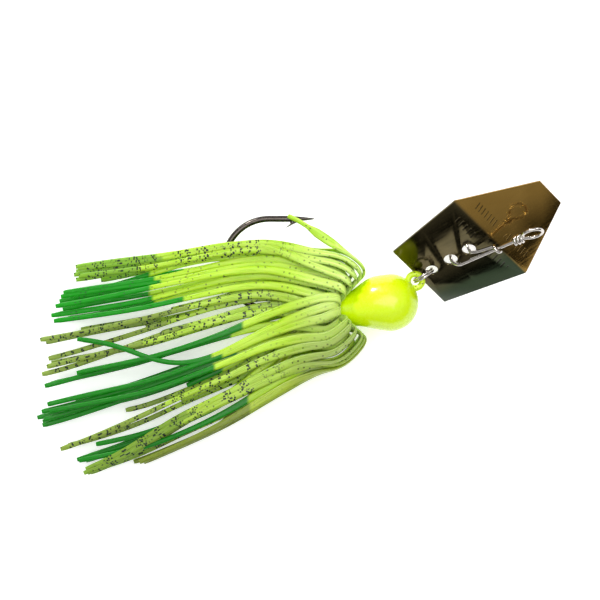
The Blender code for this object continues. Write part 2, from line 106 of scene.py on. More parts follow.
# Outline of the spread skirt, and the heights of its eight layers at the hook's bend and at the tail
SKIRT_TOP = (
    (-13.0, 10.8),
    (-15.7, 11.9),
    (-20.6, 13.0),
    (-25.0, 13.2),
    (-29.4, 12.5),
    (-47.0, 9.5),
    (-61.6, 7.4),
)
SKIRT_BOTTOM = ((-13.3, -14.8), (-17.6, -17.5), (-31.4, -24.0), (-47.1, -30.9), (-60.0, -34.4))
LAYERS_AT_BEND = (3.1, 3.9, 4.7, 5.5, 8.1, 8.9, 9.7, 10.5)
TAIL_LAYER_STEP = 0.8
TAIL_LOWEST = 0.45
FREE_FROM = -36.0  # x behind which the strands follow their lanes
SWAY = 0.3
# Each half strand from the +Y side to the -Y side: x of its tip, its share of the skirt's width
# (0 at the bottom edge, 1 at the top) where it leaves the hook and the same at its tip
WIDE_UPPER = (
    (-22.0, 1.0, 1.0),
    (-61.6, 0.98, 0.985),
    (-61.3, 0.4, 0.647),
    (-64.6, 0.26, 0.158),
    (-60.0, 0.15, 0.03),
)
WIDE_LOWER = (
    (-47.0, 0.92, 0.93),
    (-66.0, 0.78, 0.79),
    (-45.0, 0.6, 0.6),
    (-68.6, 0.33, 0.31),
    (-50.5, 0.01, 0.005),
)
CLOSE_UPPER = (
    (-62.0, 0.95, 0.955),
    (-64.1, 0.88, 0.873),
    (-66.5, 0.79, 0.78),
    (-68.7, 0.69, 0.687),
    (-67.8, 0.49, 0.47),
    (-68.4, 0.37, 0.36),
    (-58.7, 0.13, 0.01),
)
CLOSE_LOWER = (
    (-61.9, 0.97, 0.97),
    (-65.2, 0.84, 0.85),
    (-67.9, 0.66, 0.67),
    (-66.8, 0.57, 0.56),
    (-67.9, 0.38, 0.345),
    (-63.5, 0.22, 0.165),
    (-57.0, 0.06, 0.03),
)
UNDER_UPPER = (
    (-44.7, 0.84, 0.85),
    (-67.2, 0.66, 0.583),
    (-69.4, 0.37, 0.325),
    (-39.8, 0.31, 0.3),
    (-61.5, 0.12, 0.085),
)
UNDER_LOWER = (
    (-50.0, 0.88, 0.89),
    (-46.0, 0.7, 0.7),
    (-66.9, 0.33, 0.315),
    (-41.0, 0.24, 0.23),
    (-47.8, 0.13, 0.06),
)
OVER_UPPER = (
    (-56.7, 0.92, 0.877),
    (-63.4, 0.76, 0.757),
    (-42.8, 0.7, 0.71),
    (-68.4, 0.6, 0.53),
    (-68.3, 0.34, 0.297),
    (-57.7, 0.14, 0.143),
    (-47.9, 0.01, 0.0),
)
OVER_LOWER = (
    (-60.8, 0.95, 0.94),
    (-64.5, 0.81, 0.8),
    (-48.0, 0.66, 0.65),
    (-66.9, 0.5, 0.465),
    (-52.0, 0.28, 0.27),
    (-60.0, 0.15, 0.1),
    (-44.0, 0.0, 0.0),
)
# The one strand that ends over the hook's point
OVER_POINT = ((-13.0, 12.6, 9.0), (-16.6, 15.2, 8.5), (-18.6, 16.3, 8.35), (-20.0, 16.95, 8.2))

# Split ring: two coils lying against each other
RING_CENTRE = EYE + Vector((1.65, 1.19, -0.715))
RING_AXIS = Vector((-0.556, 0.825, 0.102)).normalized()
RING_RADIUS = 2.2
RING_WIRE_RADIUS = 0.21
RING_COIL_OFFSET = 0.235
RING_JOG = math.radians(40)

# Blade: frame (length, width, normal), then its outline as distance from the rear edge
BLADE_LENGTH_AXIS = Vector((0.789, 0.442, 0.427)).normalized()
BLADE_WIDTH_HINT = Vector((0.615, -0.567, -0.548))
BLADE_HOLE_CENTRE = RING_CENTRE + Vector((1.65, 1.107, -0.037))
BLADE_THICKNESS = 0.5
BLADE_LENGTH = 32.0
BLADE_REAR_WIDTH = 17.1
BLADE_WIDEST = 23.9
BLADE_WIDEST_AT = 17.25
BLADE_FRONT_WIDTH = 7.0
BLADE_BEND = math.radians(13)
BLADE_BEND_LENGTH = 1.6
RING_HOLE_AT = 3.1
RING_HOLE_RADIUS = 1.2
SNAP_HOLES_AT = (7.7, 12.1)
SNAP_HOLE_RADIUS = 1.35

# Snap: bent wire through the two holes in the blade, with the line's eye at its far end
SNAP_WIRE_RADIUS = 0.32
SNAP_DIRECTION = Vector((0.995, 0.045, 0.085)).normalized()  # in the blade's frame
SNAP_LEAN = math.radians(26)
SNAP_LOOP_RADIUS = 2.15
SNAP_WRAP_RADIUS = 0.71
SNAP_WRAP_PITCH = 0.74
SNAP_WRAPS = 2.25
SNAP_NECK_AT = 14.0
SNAP_EYE_RADIUS = 1.95
SNAP_CATCH_AT = 7.6


def place(point):
    """A design point in millimetres as a world point in metres."""
    return (Vector(point) - ORIGIN) * MM


# ---------------------------------------------------------------- mesh helpers


def bridge(bm, rings):
    """Joins closed rings of vertices into a tube with flat ends."""
    for low, high in zip(rings, rings[1:]):
        count = len(low)
        for i in range(count):
            j = (i + 1) % count
            bm.faces.new((low[i], low[j], high[j], high[i]))
    bm.faces.new(list(reversed(rings[0])))
    bm.faces.new(rings[-1])


def close_grid(bm, grid):
    """Faces of a closed ring whose sections, listed round it, are closed rings of vertices."""
    for here, there in zip(grid, grid[1:] + grid[:1]):
        for j in range(len(here)):
            k = (j + 1) % len(here)
            bm.faces.new((here[j], there[j], there[k], here[k]))


def mesh_object(name, bm):
    """Turns a bmesh in design millimetres into an object in the frame's metres."""
    for vert in bm.verts:
        vert.co = place(vert.co)
    bmesh.ops.recalc_face_normals(bm, faces=bm.faces)
    mesh = bpy.data.meshes.new(name)
    bm.to_mesh(mesh)
    bm.free()
    obj = bpy.data.objects.new(name, mesh)
    bpy.context.scene.collection.objects.link(obj)
    return obj


def piece(name, bm, body, slot, surface, *nodes, smooth_angle=50):
    """A piece in design millimetres that rides on a body and stands for nodes."""
    obj = mesh_object(name, bm)
    obj.data.shade_smooth()
    obj.data.set_sharp_from_angle(angle=math.radians(smooth_angle))
    obj.data.materials.append(surface)
    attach(obj, body)
    if nodes:
        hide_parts(*nodes)
    return obj


def tangents(points):
    found = []
    for i in range(len(points)):
        before = points[max(i - 1, 0)]
        after = points[min(i + 1, len(points) - 1)]
        found.append((after - before).normalized())
    return found


def tube(bm, points, radii, sides):
    """Sweeps a round section along the points, turning it as little as possible."""
    along = tangents(points)
    side = along[0].orthogonal().normalized()
    rings = []
    for point, tangent, radius in zip(points, along, radii):
        side = (side - tangent * side.dot(tangent)).normalized()
        other = tangent.cross(side)
        ring = []
        for i in range(sides):
            angle = math.tau * i / sides
            ring.append(bm.verts.new(point + (side * math.cos(angle) + other * math.sin(angle)) * radius))
        rings.append(ring)
    bridge(bm, rings)


def smooth_path(knots, per_span):
    """A Catmull-Rom curve through the knots."""
    ends = [knots[0] * 2 - knots[1], *knots, knots[-1] * 2 - knots[-2]]
    points = []
    for a, b, c, d in zip(ends, ends[1:], ends[2:], ends[3:]):
        for step in range(per_span):
            t = step / per_span
            squared = (a * 2 - b * 5 + c * 4 - d) * t**2
            cubed = (b * 3 - a - c * 3 + d) * t**3
            points.append((b * 2 + (c - a) * t + squared + cubed) * 0.5)
    points.append(knots[-1].copy())
    return points


def hook_route():
    """Centre line from the point, round the bend and along the shank to the eye's stem."""
    bend_y = SHANK_Y + BEND_RADIUS
    top_y = SHANK_Y + 2 * BEND_RADIUS
    points = []
    for i in range(8):
        x = POINT_X + (BEND_CENTRE_X - POINT_X) * i / 8
        points.append(Vector((x, top_y, HOOK_Z)))
    for i in range(21):
        angle = math.pi / 2 + math.pi * i / 20
        x = BEND_CENTRE_X + BEND_RADIUS * math.cos(angle)
        points.append(Vector((x, bend_y + BEND_RADIUS * math.sin(angle), HOOK_Z)))
    stem = Vector((math.cos(STEM_ANGLE), math.sin(STEM_ANGLE), 0.0))
    corner = EYE - stem * ((EYE.y - SHANK_Y) / stem.y)
    turn = 1.2
    start = corner - Vector((turn, 0.0, 0.0))
    for i in range(1, 5):
        points.append(points[28].lerp(start, i / 4))
    for i in range(1, 5):
        t = i / 4
        points.append(start.lerp(corner, t).lerp(corner.lerp(corner + stem * turn, t), t))
    points.append(EYE - stem * EYE_RADIUS)
    return points


def interpolate(table, x):
    """Straight lines between (x, value) rows ordered from +X to -X, carried on past both ends."""
    rows = list(zip(table, table[1:]))
    for low, high in rows:
        if x >= high[0]:
            break
    return low[1] + (high[1] - low[1]) * (x - low[0]) / (high[0] - low[0])


def ease(x, start, end):
    t = min(max((x - start) / (end - start), 0.0), 1.0)
    return t * t * (3 - 2 * t)


def tail_knots(start, layer, lane, sideways):
    """Knots from a starting point back to a half strand's tip, each with its width direction."""
    tip, share_at_hook, share_at_tip = lane
    spaced = [start.x + (FREE_FROM - start.x) * part for part in (0.12, 0.26, 0.42, 0.6, 0.8, 1.0)]
    stops = spaced + [-42.0, -48.0, -54.0, -60.0, -65.0]
    stations = [x for x in stops if x > tip + 2.0] + [tip]
    knots = []
    for x in stations:
        share = share_at_hook + (share_at_tip - share_at_hook) * ease(x, -37.0, tip)
        top = interpolate(SKIRT_TOP, x)
        bottom = interpolate(SKIRT_BOTTOM, x)
        y = bottom + (top - bottom) * share
        at_tail = TAIL_LOWEST + TAIL_LAYER_STEP * layer
        height = LAYERS_AT_BEND[layer] + (at_tail - LAYERS_AT_BEND[layer]) * max(x + 34.0, -32.0) / -32.0
        if x > -34.0:
            height = LAYERS_AT_BEND[layer]
        y += SWAY * math.sin(0.13 * x + 2.1 * tip) * ease(x, FREE_FROM, -46.0)
        spread = 1 - max(1 - (x - start.x) / (FREE_FROM - start.x), 0.0) ** 2
        y = start.y + (y - start.y) * spread
        height = start.z + (height - start.z) * ease(x, start.x, -23.0)
        turned = ease(x, start.x - 0.5, -23.0)
        flat = Vector((0.0, -1.0 if sideways.y < 0 else 1.0, 0.0))
        knots.append((Vector((x, y, height)), sideways.lerp(flat, turned).normalized()))
    return knots


def strand_knots(angle, wide, front, back):
    """Knots of a whole strand from its front half's tip, under the band, to its rear half's tip."""
    fold = WIDE_FOLD if wide else CLOSE_FOLD
    radius = UNDER_RADIUS if wide else OVER_RADIUS
    upper = math.sin(angle) > 0
    outside = 7 if wide else 6
    inside = 4 if wide else 5
    front_layer = outside if upper else 7 - outside
    back_layer = inside if upper else 7 - inside
    sideways = Vector((0.0, -math.sin(angle), math.cos(angle)))
    flank = abs(math.cos(angle)) ** 1.5
    collar = []
    for x_side, highest, lowest, x_top, half_height in fold:
        x = x_top + (x_side - x_top) * flank
        y = (highest + lowest) / 2 + (highest - lowest) / 2 * math.cos(angle)
        collar.append((Vector((x, y, HOOK_Z + half_height * math.sin(angle))), sideways))
    if front is WIDE_UPPER[0]:
        ending = [(Vector(point), Vector((0.45, -0.9, 0.0)).normalized()) for point in OVER_POINT]
        collar = collar[:-1]
    else:
        ending = tail_knots(collar[-1][0], front_layer, front, sideways)
    y = SHANK_Y + radius * math.cos(angle)
    z = HOOK_Z + radius * math.sin(angle)
    under = [(Vector((x, y, z)), sideways) for x in (-13.5, -14.8)]
    return list(reversed(collar + ending)) + under + tail_knots(under[-1][0], back_layer, back, sideways)


def skirt_plan():
    """Every strand as its angle round the hub, whether it folds wide, and its two half strands."""
    plan = []
    for k in range(5):
        angle = math.radians(18 + 36 * k)
        plan.append((angle, True, WIDE_UPPER[k], UNDER_UPPER[k]))
        plan.append((-angle, True, WIDE_LOWER[k], UNDER_LOWER[k]))
    for k in range(7):
        angle = math.pi * (k + 0.5) / 7
        plan.append((angle, False, CLOSE_UPPER[k], OVER_UPPER[k]))
        plan.append((-angle, False, CLOSE_LOWER[k], OVER_LOWER[k]))
    return plan


def blade_axes():
    """The blade's length, width and normal directions in its rear half."""
    length = BLADE_LENGTH_AXIS
    width = (BLADE_WIDTH_HINT - length * BLADE_WIDTH_HINT.dot(length)).normalized()
    return length, width, width.cross(length)


def blade_point(along, across, height):
    """A point given by its distance along the unbent blade from the rear edge."""
    length, width, normal = blade_axes()
    start = BLADE_WIDEST_AT - BLADE_BEND_LENGTH / 2
    radius = BLADE_BEND_LENGTH / BLADE_BEND
    turned = min(max((along - start) / radius, 0.0), BLADE_BEND)
    straight = max(along - start - BLADE_BEND_LENGTH, 0.0)
    forward = min(along, start) + radius * math.sin(turned) + straight * math.cos(turned)
    drop = radius * (1 - math.cos(turned)) + straight * math.sin(turned)
    forward += height * math.sin(turned)
    rise = height * math.cos(turned) - drop
    rear = BLADE_HOLE_CENTRE - length * RING_HOLE_AT
    return rear + length * forward + width * across + normal * rise


def blade_half_width(along):
    if along <= BLADE_WIDEST_AT:
        share = along / BLADE_WIDEST_AT
        return (BLADE_REAR_WIDTH + (BLADE_WIDEST - BLADE_REAR_WIDTH) * share) / 2
    share = (along - BLADE_WIDEST_AT) / (BLADE_LENGTH - BLADE_WIDEST_AT)
    return (BLADE_WIDEST + (BLADE_FRONT_WIDTH - BLADE_WIDEST) * share) / 2


def snap_axes():
    """Along the snap, across it in the loop's plane, and out of that plane."""
    length, width, normal = blade_axes()
    blade = Matrix((length, width, normal)).transposed()
    lean = Vector((0.0, math.sin(SNAP_LEAN), math.cos(SNAP_LEAN)))
    across = (lean - SNAP_DIRECTION * lean.dot(SNAP_DIRECTION)).normalized()
    out = SNAP_DIRECTION.cross(across)
    return blade @ SNAP_DIRECTION, blade @ across, blade @ out


def snap_route():
    """Centre line as (along, across, out), from the catch round the blade's bridge to the wraps."""
    leg = SNAP_LOOP_RADIUS
    route = []
    for i in range(9):
        angle = math.radians(130 - 220 * i / 8)
        reach = 0.78
        along = SNAP_CATCH_AT + 0.9 - 0.9 * i / 8
        route.append(Vector((along, leg + reach * math.sin(angle), reach * math.cos(angle))))
    knots = [
        route[-1],
        Vector((5.6, leg - 0.95, 0.0)),
        Vector((3.6, 0.95, 0.0)),
        Vector((2.35, 0.55, 0.0)),
    ]
    route.extend(smooth_path(knots, 4)[1:])
    for i in range(1, 22):
        angle = math.radians(0 - 270 * i / 21)
        route.append(Vector((leg * math.cos(angle), leg * math.sin(angle), 0.0)))
    eye = SNAP_NECK_AT + SNAP_EYE_RADIUS + 0.25
    for share in (0.25, 0.5, 0.75, 0.9, 1.0):
        route.append(Vector(((SNAP_NECK_AT - 0.5) * share, leg, 0.0)))
    for i in range(27):
        angle = math.radians(208 + 304 * i / 26)
        along = eye + SNAP_EYE_RADIUS * math.cos(angle)
        route.append(Vector((along, leg, SNAP_EYE_RADIUS * math.sin(angle))))
    steps = round(SNAP_WRAPS * 12)
    for i in range(steps + 1):
        angle = math.tau * i / 12
        along = SNAP_NECK_AT - 0.05 - SNAP_WRAP_PITCH * i / 12
        around = Vector((0.0, SNAP_WRAP_RADIUS * math.sin(angle), SNAP_WRAP_RADIUS * math.cos(angle)))
        route.append(Vector((along, leg, 0.0)) + around)
    return route


# ---------------------------------------------------------------- materials


class Surface:
    """A Principled material under construction. A value is a number or another node's output."""

    def __init__(self, name):
        self.material = bpy.data.materials.new(name)
        self.material.use_nodes = True
        self.nodes = self.material.node_tree.nodes
        self.links = self.material.node_tree.links
        self.shader = self.nodes["Principled BSDF"]

    def set(self, **values):
        for key, value in values.items():
            self.shader.inputs[key.replace("_", " ")].default_value = value
        return self

    def node(self, kind, **values):
        made = self.nodes.new(kind)
        for key, value in values.items():
            setattr(made, key, value)
        return made

    def link(self, output, target):
        if hasattr(output, "is_linked"):
            self.links.new(output, target)
        else:
            target.default_value = output

    def math(self, operation, first, second=0.0):
        made = self.node("ShaderNodeMath", operation=operation)
        self.link(first, made.inputs[0])
        self.link(second, made.inputs[1])
        return made.outputs[0]

    def product(self, *factors):
        result = factors[0]
        for factor in factors[1:]:
            result = self.math("MULTIPLY", result, factor)
        return result

    def mix(self, factor, first, second):
        made = self.node("ShaderNodeMix", data_type="RGBA")
        self.link(factor, made.inputs[0])
        self.link((*first, 1.0) if isinstance(first, tuple) else first, made.inputs[6])
        self.link((*second, 1.0) if isinstance(second, tuple) else second, made.inputs[7])
        return made.outputs[2]

    def step(self, value, low, high, first=0.0, last=1.0):
        made = self.node("ShaderNodeMapRange", interpolation_type="SMOOTHSTEP")
        self.link(value, made.inputs[0])
        for index, number in enumerate((low, high, first, last), 1):
            made.inputs[index].default_value = number
        return made.outputs[0]

    def noise(self, vector, scale, detail=3.0, stretch=(1.0, 1.0, 1.0)):
        mapping = self.node("ShaderNodeMapping")
        self.link(vector, mapping.inputs[0])
        mapping.inputs["Scale"].default_value = stretch
        made = self.node("ShaderNodeTexNoise")
        self.link(mapping.outputs[0], made.inputs["Vector"])
        made.inputs["Scale"].default_value = scale
        made.inputs["Detail"].default_value = detail
        return made.outputs[0]

    def place(self, offset=(0.0, 0.0, 0.0)):
        """Position in design millimetres."""
        made = self.node("ShaderNodeTexCoord")
        mapping = self.node("ShaderNodeMapping")
        self.link(made.outputs["Object"], mapping.inputs[0])
        mapping.inputs["Scale"].default_value = (1000.0, 1000.0, 1000.0)
        mapping.inputs["Location"].default_value = ORIGIN + Vector(offset)
        return mapping.outputs[0]

    def axes(self, vector):
        made = self.node("ShaderNodeSeparateXYZ")
        self.link(vector, made.inputs[0])
        return made.outputs

    def along(self, vector, direction):
        made = self.node("ShaderNodeVectorMath", operation="DOT_PRODUCT")
        self.link(vector, made.inputs[0])
        made.inputs[1].default_value = direction
        return made.outputs["Value"]

    def bump(self, height, strength, distance):
        made = self.node("ShaderNodeBump")
        made.inputs["Strength"].default_value = strength
        made.inputs["Distance"].default_value = distance
        self.link(height, made.inputs["Height"])
        self.link(made.outputs[0], self.shader.inputs["Normal"])

    def colour(self, value):
        self.link(value, self.shader.inputs["Base Color"])

    def roughness(self, value):
        self.link(value, self.shader.inputs["Roughness"])


def wire_surface(name, dark, light, roughness):
    """Plated wire: faint drawing lines and small changes of tone."""
    made = Surface(name).set(Metallic=1.0)
    at = made.place()
    tone = made.noise(at, 1.6)
    made.colour(made.mix(tone, dark, light))
    made.roughness(made.step(made.noise(at, 5.0), 0.3, 0.7, roughness * 0.7, roughness * 1.4))
    made.bump(made.noise(at, 9.0), 0.15, 0.00004)
    return made.material


def paint_surface():
    """Thick gloss powder paint: a little uneven, with a soft orange peel, and a faint painted glow of its
    own colour from its emission.
    """
    # The weak emission is a painted glow: the paint lights itself a little, over the light the lamps give.
    made = Surface("head_paint").set(
        Coat_Weight=0.35, Coat_Roughness=0.1, Emission_Color=(0.55, 0.8, 0.0, 1.0), Emission_Strength=0.06
    )
    at = made.place()
    tone = made.noise(at, 0.35, 2.0)
    made.colour(made.mix(tone, (0.58, 0.83, 0.0), (0.7, 0.92, 0.0)))
    made.roughness(made.step(made.noise(at, 1.3), 0.35, 0.65, 0.2, 0.32))
    made.bump(made.noise(at, 1.1, 2.0), 0.25, 0.0001)
    return made.material


def hook_surface():
    """Black nickel wire whose eye and stem carry the head's paint, worn where the ring rubs."""
    made = Surface("hook_wire")
    at = made.place()
    x = made.axes(at)[0]
    ragged = made.math("ADD", x, made.math("MULTIPLY", made.noise(at, 1.4), 0.9))
    painted = made.step(ragged, 0.0, 0.35)
    wear = made.step(made.noise(at, 2.3), 0.62, 0.68)
    painted = made.math("MULTIPLY", painted, made.math("SUBTRACT", 1.0, made.math("MULTIPLY", wear, 0.8)))
    metal = made.mix(made.noise(at, 1.2), (0.035, 0.03, 0.028), (0.11, 0.095, 0.08))
    made.colour(made.mix(painted, metal, (0.6, 0.82, 0.01)))
    made.link(made.math("SUBTRACT", 1.0, painted), made.shader.inputs["Metallic"])
    made.roughness(made.step(made.noise(at, 3.0), 0.3, 0.7, 0.16, 0.32))
    made.bump(made.noise(at, 6.0), 0.15, 0.00005)
    return made.material


def band_surface():
    made = Surface("band").set(Roughness=0.55)
    at = made.place()
    made.colour(made.mix(made.noise(at, 1.5), (0.2, 0.34, 0.03), (0.34, 0.5, 0.06)))
    made.bump(made.noise(at, 4.0), 0.4, 0.0001)
    return made.material


def blade_surface():
    """Smoked nickel sheet: rolled streaks, a warmer front half, a painted dark green reflection of the skirt
    on one side of the rear, and two rows of stamped strokes.
    """
    length, width = blade_axes()[:2]
    made = Surface("blade_sheet").set(Metallic=1.0)
    at = made.place(tuple(-(BLADE_HOLE_CENTRE - length * RING_HOLE_AT)))
    forward = made.along(at, length)
    across = made.along(at, width)
    flat = made.node("ShaderNodeCombineXYZ")
    made.link(forward, flat.inputs[0])
    made.link(across, flat.inputs[1])
    streaks = made.noise(flat.outputs[0], 1.4, 4.0, (0.12, 1.6, 1.0))
    clouds = made.noise(flat.outputs[0], 0.16, 2.0)
    front = made.step(forward, BLADE_WIDEST_AT - 0.4, BLADE_WIDEST_AT + 0.6)
    rear_tone = made.mix(clouds, (0.05, 0.045, 0.022), (0.12, 0.095, 0.045))
    front_tone = made.mix(clouds, (0.25, 0.145, 0.03), (0.36, 0.22, 0.055))
    # Painted reflection: the rear turns dark green towards one side, where the skirt would show in the
    # sheet.
    green = made.step(across, 1.0, 7.5)
    rear_tone = made.mix(green, rear_tone, (0.022, 0.034, 0.017))
    tone = made.mix(front, rear_tone, front_tone)
    stamped = 0.0
    for row, pitch in ((BLADE_WIDEST_AT - 2.3, 1.25), (BLADE_WIDEST_AT + 2.6, 0.95)):
        in_row = made.step(made.math("ABSOLUTE", made.math("SUBTRACT", forward, row)), 0.8, 0.66)
        near = made.step(made.math("ABSOLUTE", across), 8.4, 8.3)
        clear = made.step(made.math("ABSOLUTE", across), 1.6, 1.7)
        slanted = made.math("ADD", across, made.math("MULTIPLY", forward, 0.35))
        beat = made.math("PINGPONG", slanted, pitch / 2)
        strokes = made.step(beat, pitch * 0.17, pitch * 0.1)
        stamped = made.math("ADD", made.product(in_row, strokes, near, clear), stamped)
    made.colour(made.mix(made.math("MULTIPLY", stamped, 0.75), tone, (0.015, 0.012, 0.008)))
    made.roughness(made.step(streaks, 0.3, 0.75, 0.1, 0.24))
    height = made.math("SUBTRACT", made.math("MULTIPLY", streaks, 0.12), stamped)
    made.bump(height, 0.35, 0.00012)
    return made.material


TIP_SCATTER = 9.0  # how much further forward the tip colour reaches on some strips than on others
# Silicone colours: collar colour, lighter streaks, tip colour, x where the tip colour starts, and the
# strengths of the black flake bars and of the scattered flakes, and the bars' spacing
SILICONES = {
    "silicone_chartreuse": ((0.44, 0.72, 0.02), (0.6, 0.86, 0.09), (0.25, 0.5, 0.03), -46.0, 1.0, 0.6, 1.7),
    "silicone_lime_tipped": ((0.48, 0.78, 0.015), (0.64, 0.9, 0.08), (0.0, 0.33, 0.0), -44.0, 0.0, 0.55, 2),
    "silicone_olive": ((0.38, 0.6, 0.03), (0.54, 0.76, 0.1), (0.26, 0.38, 0.05), -44.0, 1.0, 0.6, 2.0),
    "silicone_green": ((0.46, 0.74, 0.015), (0.6, 0.86, 0.07), (0.0, 0.24, 0.0), -32.0, 0.0, 0.3, 2.0),
    "silicone_dark_olive": ((0.36, 0.58, 0.03), (0.5, 0.7, 0.08), (0.22, 0.38, 0.03), -40.0, 1.0, 0.8, 3.8),
    "silicone_plain": ((0.34, 0.48, 0.02), (0.46, 0.6, 0.05), (0.2, 0.27, 0.02), -30.0, 0.0, 0.2, 2.0),
}


def silicone_surface(name):
    """Translucent silicone strip. UV holds millimetres across and along the strip."""
    collar, streak, tip, tip_from, barred, flaked, period = SILICONES[name]
    made = Surface(name).set(Transmission_Weight=0.22, IOR=1.41, Specular_IOR_Level=0.3)
    made.set(Subsurface_Weight=0.35, Subsurface_Radius=(0.5, 0.7, 0.15), Subsurface_Scale=0.001)
    made.set(Coat_Weight=0.1, Coat_Roughness=0.2)
    uv = made.node("ShaderNodeUVMap").outputs[0]
    across, along = made.axes(uv)[:2]
    position = made.axes(made.place())
    x, z = position[0], position[2]
    streaks = made.noise(uv, 1.1, 3.0, (1.6, 0.1, 1.0))
    base = made.mix(made.step(streaks, 0.35, 0.7), collar, streak)
    own = made.node("ShaderNodeObjectInfo").outputs["Random"]
    shifted = made.math("ADD", x, made.math("MULTIPLY", own, TIP_SCATTER))
    base = made.mix(made.step(shifted, tip_from + 4.9, tip_from + 4.1), base, tip)
    # Painted highlight: the upper strands near the collar are paled towards white, as if light shone off and
    # through them.
    painted_highlight = made.math("MULTIPLY", made.step(x, -22.0, -13.0), made.step(z, 8.5, 10.5))
    base = made.mix(made.math("MULTIPLY", painted_highlight, 0.3), base, (0.86, 0.95, 0.5))
    # Painted shade: the strip's sides are darkened so that it looks rounded.
    edge_shade = made.step(made.math("ABSOLUTE", across), 0.42, 0.8)
    base = made.mix(made.math("MULTIPLY", edge_shade, 0.35), base, tuple(part * 0.45 for part in collar))
    dots = made.node("ShaderNodeTexVoronoi", voronoi_dimensions="2D")
    made.link(uv, dots.inputs["Vector"])
    dots.inputs["Scale"].default_value = 2.0
    grains = made.step(dots.outputs["Distance"], 0.43, 0.36)
    beat = made.math("ADD", along, made.math("MULTIPLY", made.noise(uv, 0.8, 2.0), 1.2))
    bars = made.step(made.math("PINGPONG", beat, period / 2), period * 0.25, period * 0.31)
    gaps = made.step(made.noise(uv, 0.3, 1.0), 0.42, 0.48)
    fading = made.step(x, -15.0, -28.0, 0.0, barred)
    in_bars = made.product(grains, bars, gaps, fading)
    chosen = made.step(made.axes(dots.outputs["Color"])[0], 0.93, 0.95)
    scattered = made.product(grains, chosen, flaked)
    ink = made.math("MAXIMUM", in_bars, scattered)
    made.colour(made.mix(ink, base, (0.006, 0.02, 0.008)))
    made.roughness(made.step(streaks, 0.3, 0.7, 0.24, 0.4))
    made.bump(made.noise(uv, 1.6, 3.0, (1.5, 0.15, 1.0)), 0.3, 0.00012)
    return made.material


# ---------------------------------------------------------------- metal pieces


def make_hook():
    coarse = hook_route()
    route = smooth_path(coarse, 3)
    radii = []
    for point in route:
        straight = point.y > SHANK_Y + 2 * BEND_RADIUS - 0.4 and point.x > BEND_CENTRE_X
        reach = min(max(POINT_X - point.x, 0.0) / TAPER_LENGTH, 1.0) if straight else 1.0
        radii.append(TIP_RADIUS + (WIRE_RADIUS - TIP_RADIUS) * reach**0.7)
    bm = bmesh.new()
    tube(bm, route, radii, 24)
    ring_mesh(bm, EYE, Vector((1.0, 0.0, 0.0)), Vector((0.0, 1.0, 0.0)), EYE_RADIUS, EYE_WIRE_RADIUS, 56, 20)
    top_y = SHANK_Y + 2 * BEND_RADIUS
    root = Vector((BARB_ROOT_X, top_y, HOOK_Z))
    tip = root + Vector((-BARB_LENGTH, -BARB_RISE, 0.0))
    spine = smooth_path([root, root.lerp(tip, 0.5) + Vector((0.0, 0.12, 0.0)), tip], 5)
    tube(bm, spine, [0.34 - 0.3 * (i / (len(spine) - 1)) ** 1.6 for i in range(len(spine))], 12)
    foot = root + Vector((-BARB_LENGTH * 0.75, 0.1, 0.0))
    tube(bm, smooth_path([foot, root.lerp(tip, 0.62)], 4), [0.28, 0.27, 0.25, 0.23, 0.2], 12)
    piece("hook_wire", bm, "lure", "black_nickel", hook_surface(), "hook")


def ring_mesh(bm, centre, first, second, radius, wire, around, sides):
    """A closed round ring in the plane of two unit directions."""
    axis = first.cross(second)
    grid = []
    for i in range(around):
        turn = math.tau * i / around
        outward = first * math.cos(turn) + second * math.sin(turn)
        ring = []
        for j in range(sides):
            angle = math.tau * j / sides
            offset = outward * math.cos(angle) + axis * math.sin(angle)
            ring.append(bm.verts.new(centre + outward * radius + offset * wire))
        grid.append(ring)
    close_grid(bm, grid)


def make_head():
    """The casting, its profile smoothed, and the paint gathered round the eye's stem."""
    caps = 12
    knots = [Vector((-x, y, radius)) for x, y, radius in NECK_SECTIONS[:6]]
    profile = []
    for i in range(1, caps + 1):
        angle = math.pi / 2 * i / caps
        profile.append(Vector((-BALL_RADIUS * math.cos(angle), 0.0, BALL_RADIUS * math.sin(angle))))
    profile += smooth_path([Vector((0.0, 0.0, BALL_RADIUS)), *knots], 5)[1:]
    profile += [Vector((-x, y, radius)) for x, y, radius in NECK_SECTIONS[6:]]
    sides = 96
    bm = bmesh.new()
    rings = []
    for back, y, radius in profile:
        ring = []
        for i in range(sides):
            angle = math.tau * i / sides
            side = y + radius * math.cos(angle)
            ring.append(bm.verts.new((-back, side, HOOK_Z + radius * math.sin(angle))))
        rings.append(ring)
    bridge(bm, rings)
    stem = Vector((math.cos(STEM_ANGLE), math.sin(STEM_ANGLE), 0.0))
    foot = EYE - stem * 3.2
    heights = (0.0, 0.45, 0.85, 1.15, 1.4)
    tube(bm, [foot + stem * height for height in heights], (1.5, 1.28, 1.0, 0.82, 0.68), 28)
    piece("head_paint", bm, "lure", "chartreuse_paint", paint_surface(), "head_casting")


def make_band():
    """The rubber band, its section a rounded rectangle."""
    inner, outer = BAND_RADII
    low, high = BAND_X
    middle = (inner + outer) / 2
    half = (outer - inner) / 2
    around = 72
    sides = 20
    bm = bmesh.new()
    grid = []
    for i in range(around):
        angle = math.tau * i / around
        ring = []
        for j in range(sides):
            turn = math.tau * j / sides
            c, s = math.cos(turn), math.sin(turn)
            x = (low + high) / 2 + (high - low) / 2 * math.copysign(abs(c) ** 0.6, c)
            radius = middle + half * math.copysign(abs(s) ** 0.6, s)
            side = SHANK_Y + radius * math.cos(angle)
            ring.append(bm.verts.new((x, side, HOOK_Z + radius * math.sin(angle))))
        grid.append(ring)
    close_grid(bm, grid)
    piece("band", bm, "lure", "band_rubber", band_surface(), "skirt_band")


